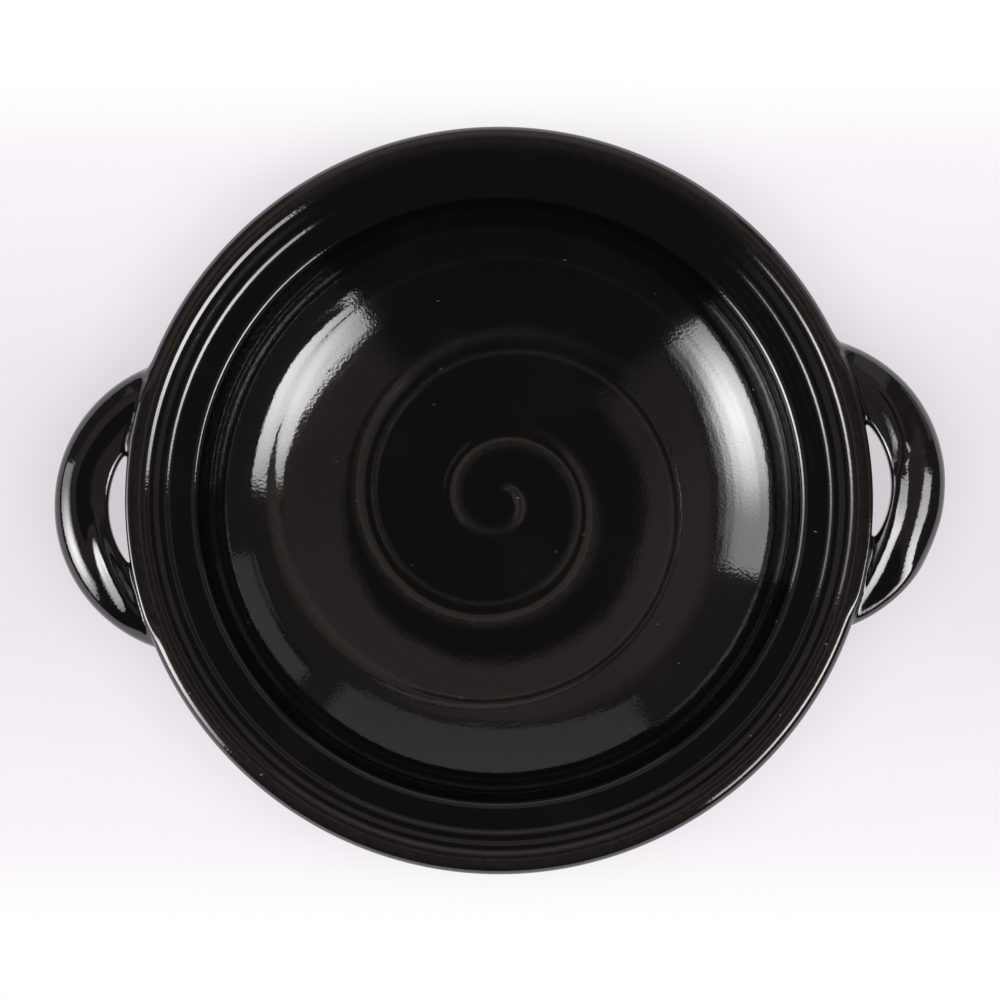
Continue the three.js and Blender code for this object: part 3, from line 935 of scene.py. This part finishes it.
cloth_glow = lamp_behind_cloth()
for name, row in PANELS.items():
    middle = sum(row["bearings"]) / 2
    wide = out_on_panel(row["bearings"][1] - middle)
    corners = [
        (0, -wide, out_on_panel(row["bottom"][0])),
        (0, -wide, out_on_panel(row["top"][0])),
        (0, wide, out_on_panel(row["top"][1])),
        (0, wide, out_on_panel(row["bottom"][1])),
    ]
    panel_mesh = bpy.data.meshes.new(name)
    panel_mesh.from_pydata(corners, [], [(0, 1, 2, 3)])
    panel = bpy.data.objects.new(name, panel_mesh)
    panel.location = (
        PANEL_DISTANCE * math.cos(math.radians(middle)),
        PANEL_DISTANCE * math.sin(math.radians(middle)),
        DISH_HEIGHT * MM,
    )
    panel.rotation_euler = (0, 0, math.radians(middle))
    bpy.context.collection.objects.link(panel)
    panel.visible_camera = False
    panel.visible_diffuse = False
    panel.visible_shadow = False
    cloth = bpy.data.materials.new(name)
    cloth.use_nodes = True
    cloth.node_tree.nodes.clear()
    bench = Workbench(cloth.node_tree)
    inputs = {
        "Top": out_on_panel(max(row["top"])),
        "Soft Top": row["soft_top"],
        "Lamp Aside": out_on_panel(row["lamp"][0] - middle),
        "Lamp Height": out_on_panel(row["lamp"][1]),
        "Reach Aside": row["lamp_reach"][0],
        "Reach Upright": row["lamp_reach"][1],
        "Cloth": row["cloth"],
    }
    lamp = bench.put("ShaderNodeGroup", inputs, node_tree=cloth_glow)
    shade = bench.mixed(lamp.outputs[0], BLACK, (*row["colour"], 1))
    glow = bench.put("ShaderNodeEmission", {"Color": shade, "Strength": row["brightness"]})
    bench.put("ShaderNodeOutputMaterial", {"Surface": glow.outputs[0]})
    panel_mesh.materials.append(cloth)

# The room: white where the camera sees past the table. In the glaze it is a dim ceiling, with
# the dark of the camera overhead and of the unlit side at the front.
CEILING_COLOUR = (0.145, 0.123, 0.117, 1)
WINDOW_COLOUR = (0.195, 0.165, 0.155, 1)  # the ceiling on its brighter side
WINDOW_BEARING = 100
WINDOW_REACH = (-0.5, 0.7)  # cosines of the angles from there over which it brightens
WALL_TOP = (40, 50)  # elevations over which the walls give way to the ceiling
WALL_SHARE = 0.35  # of the ceiling's brightness
SHADE_COLOUR = (0.02, 0.02, 0.02, 1)
SHADE_BEARING = 265
SHADE_REACH = (36, 48)  # degrees to each side, over which the dark at the front ends
LENS_ELEVATION = 86
LENS_BEARING = 65
LENS_SHADE = (13, 17.5)  # degrees round the lens over which its dark ends
FILL_COLOUR = (0.3, 0.3, 0.3, 1)  # what dull surfaces get from all round
CLEAR_COLOUR = (1, 1, 1, 1)

world = bpy.data.worlds.new("room")
bpy.context.scene.world = world
world.use_nodes = True
world.node_tree.nodes.clear()
room = Workbench(world.node_tree)


def nearness(direction, bearing, elevation=0):
    """The cosine of the angle between a direction and the one at a bearing and elevation."""
    bearing, elevation = math.radians(bearing), math.radians(elevation)
    way = (
        math.cos(elevation) * math.cos(bearing),
        math.cos(elevation) * math.sin(bearing),
        math.sin(elevation),
    )
    node = room.put("ShaderNodeVectorMath", {0: direction, 1: way}, operation="DOT_PRODUCT")
    return node.outputs["Value"]


where = room.put("ShaderNodeTexCoord").outputs["Generated"]
height = room.put("ShaderNodeSeparateXYZ", {0: where}).outputs["Z"]
level = room.put("ShaderNodeVectorMath", {0: where, 1: (1, 1, 0)}, operation="MULTIPLY")
level = room.put("ShaderNodeVectorMath", {0: level.outputs[0]}, operation="NORMALIZE").outputs[0]
share = room.product(
    room.ease(nearness(level, SHADE_BEARING), *cosines(SHADE_REACH)),
    room.ease(nearness(where, LENS_BEARING, LENS_ELEVATION), *cosines(LENS_SHADE)),
    room.ease(height, *(math.sin(math.radians(angle)) for angle in WALL_TOP), WALL_SHARE),
)
to_window = room.ease(nearness(level, WINDOW_BEARING), *WINDOW_REACH)
ceiling = room.mixed(share, SHADE_COLOUR, room.mixed(to_window, CEILING_COLOUR, WINDOW_COLOUR))
mirrored = room.put("ShaderNodeBackground", {"Color": ceiling}).outputs[0]
clear = room.put("ShaderNodeBackground", {"Color": CLEAR_COLOUR}).outputs[0]
fill = room.put("ShaderNodeBackground", {"Color": FILL_COLOUR}).outputs[0]
rays = room.put("ShaderNodeLightPath").outputs
unseen = room.put("ShaderNodeMixShader", {0: rays["Is Diffuse Ray"], 1: mirrored, 2: fill})
unseen = unseen.outputs[0]
choice = room.put("ShaderNodeMixShader", {0: rays["Is Camera Ray"], 1: unseen, 2: clear})
room.put("ShaderNodeOutputWorld", {"Surface": choice.outputs[0]})

# The camera: straight above the plate on a stand, with the top of the photograph towards the
# back. It takes in the plate, both of its handles and a narrow border.
CAMERA_HEIGHT = 3.0
CAMERA_SHIFT = 0.0004  # towards the back, because the plate lies a little low in the photograph
FRAME_WIDTH = 0.3738  # what the photograph takes in at the height of the rim
SENSOR_WIDTH = 36  # in millimetres, as the lens

camera_data = bpy.data.cameras.new("camera")
camera_data.sensor_width = SENSOR_WIDTH
camera_data.lens = SENSOR_WIDTH * (CAMERA_HEIGHT - DISH_HEIGHT * MM) / FRAME_WIDTH
camera = bpy.data.objects.new("camera", camera_data)
camera.location = (0, CAMERA_SHIFT, CAMERA_HEIGHT)
bpy.context.collection.objects.link(camera)
bpy.context.scene.camera = camera
bpy.context.scene.view_settings.view_transform = "Standard"
